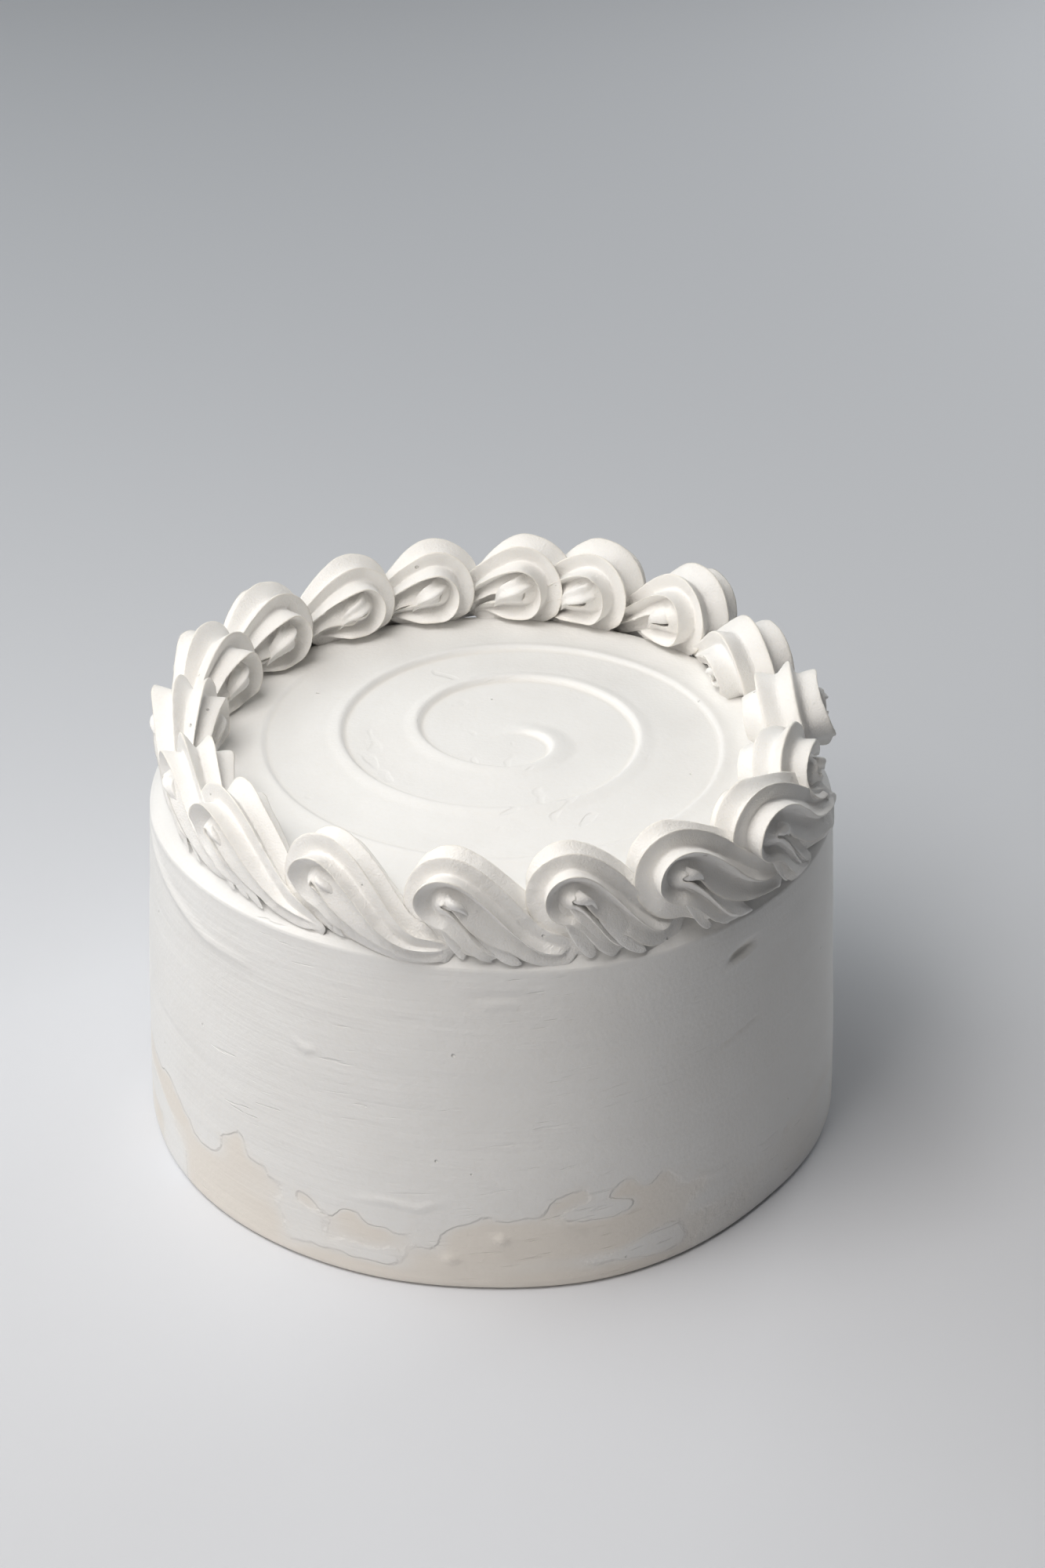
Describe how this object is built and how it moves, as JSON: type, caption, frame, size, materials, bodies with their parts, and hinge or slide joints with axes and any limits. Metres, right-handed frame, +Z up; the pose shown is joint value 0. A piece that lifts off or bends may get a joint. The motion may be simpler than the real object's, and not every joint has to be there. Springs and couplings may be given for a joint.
{
  "type": "birthday cake",
  "caption": "Round white frosted layer cake with a spatula spiral on top and a piped shell border around the rim.",
  "frame": {"origin": "centre of the cake's outline, on the flat base it rests on", "axes": "+Z up through the top; -Y is the side that faces the viewer, +X is to its right"},
  "size_m": [0.2321, 0.2326, 0.1523],
  "materials": {
    "body_cream": "smooth spread whipped cream, satin matte, warm white, with faint spatula strokes and small air pits",
    "shell_cream": "piped whipped cream, satin matte, warm white, fine grained, with small air pits"
  },
  "bodies": {
    "root": {"cake": "body_cream", "shell_01": "shell_cream", "shell_02": "shell_cream", "shell_03": "shell_cream", "shell_04": "shell_cream", "shell_05": "shell_cream", "shell_06": "shell_cream", "shell_07": "shell_cream", "shell_08": "shell_cream", "shell_09": "shell_cream", "shell_10": "shell_cream", "shell_11": "shell_cream", "shell_12": "shell_cream", "shell_13": "shell_cream", "shell_14": "shell_cream", "shell_15": "shell_cream", "shell_16": "shell_cream", "shell_17": "shell_cream", "shell_18": "shell_cream"}
  },
  "joints": []
}
